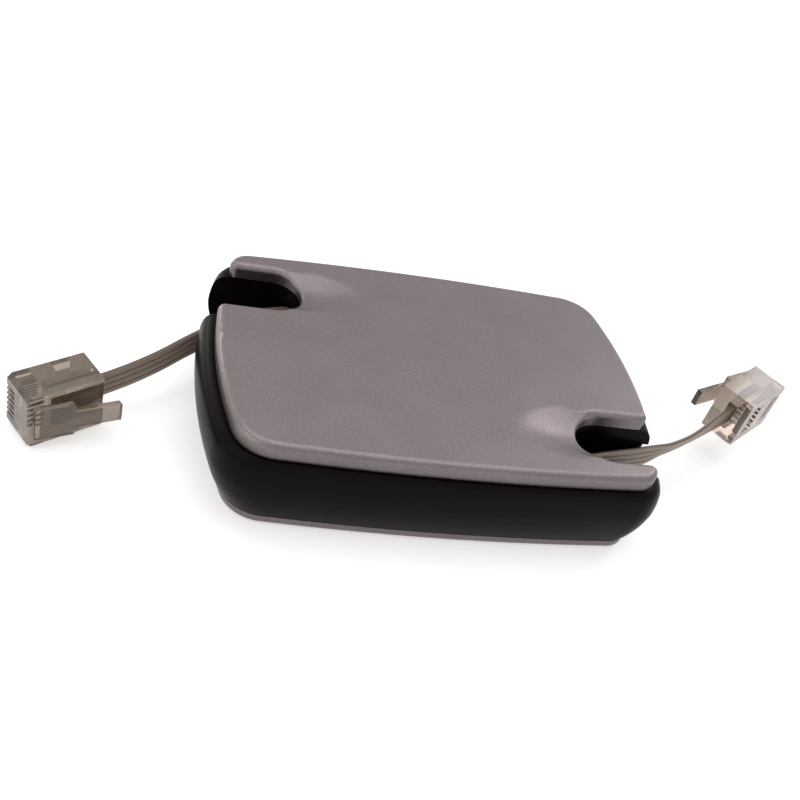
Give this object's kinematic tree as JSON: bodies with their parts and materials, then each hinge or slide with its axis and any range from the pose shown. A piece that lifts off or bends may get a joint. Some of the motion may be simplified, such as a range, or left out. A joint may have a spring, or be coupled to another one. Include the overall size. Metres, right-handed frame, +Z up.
{
  "type": "retractable telephone cord",
  "caption": "Flat hand-sized housing with silver covers on a black middle, corner docks and a sprung reel that pays out a flat telephone ribbon to a clear modular plug at each end.",
  "frame": {"origin": "middle of the base cover's underside, on the reel's axis", "axes": "+X along the housing towards the right-hand dock, +Y to the back, +Z up through the top cover"},
  "size_m": [0.1352, 0.0508, 0.017],
  "materials": {
    "silver_cover": "satin silver paint with a fine grain",
    "black_case": "satin moulded",
    "reel_plastic": "moulded",
    "ribbon": "flat four-wire ribbon, satin",
    "spring_steel": "blued strip",
    "ball_steel": "polished",
    "screw_steel": "zinc plated",
    "clear_plug": "clear moulded polycarbonate",
    "gold_contact": "gold plated"
  },
  "bodies": {
    "housing": {"top_cover": "silver_cover", "bottom_cover": "silver_cover", "upper_case": "black_case", "lower_case": "black_case", "centre_screw": "screw_steel", "case_screws": "screw_steel", "lock_ball": "ball_steel", "left_lead": "ribbon", "right_lead": "ribbon"},
    "reel_group": {"reel": "reel_plastic", "reel_flange": "reel_plastic", "wound_cord": "ribbon", "main_spring": "spring_steel"},
    "left_plug_group": {"left_plug": "clear_plug", "left_contact_1": "gold_contact", "left_contact_2": "gold_contact", "left_contact_3": "gold_contact", "left_contact_4": "gold_contact"},
    "right_plug_group": {"right_plug": "clear_plug", "right_contact_1": "gold_contact", "right_contact_2": "gold_contact", "right_contact_3": "gold_contact", "right_contact_4": "gold_contact"}
  },
  "joints": [
    {"name": "reel_spin", "type": "hinge", "parent": "housing", "child": "reel_group", "pos_m": [0, 0, 0.0083], "axis": [0, 0, 1], "range_deg": [0, 1800], "stiffness_Nm_per_rad": 0.0006},
    {"name": "left_pull", "type": "slide", "parent": "housing", "child": "left_plug_group", "axis": [-0.8387, -0.5446, 0], "range_m": [0, 0.4262]},
    {"name": "right_pull", "type": "slide", "parent": "housing", "child": "right_plug_group", "axis": [0.809, 0.5878, 0], "range_m": [0, 0.4262]}
  ],
  "couplings": [
    {"joint": "left_pull", "follows": "reel_spin", "m_per_rad": 0.01355},
    {"joint": "right_pull", "follows": "reel_spin", "m_per_rad": 0.01355}
  ]
}
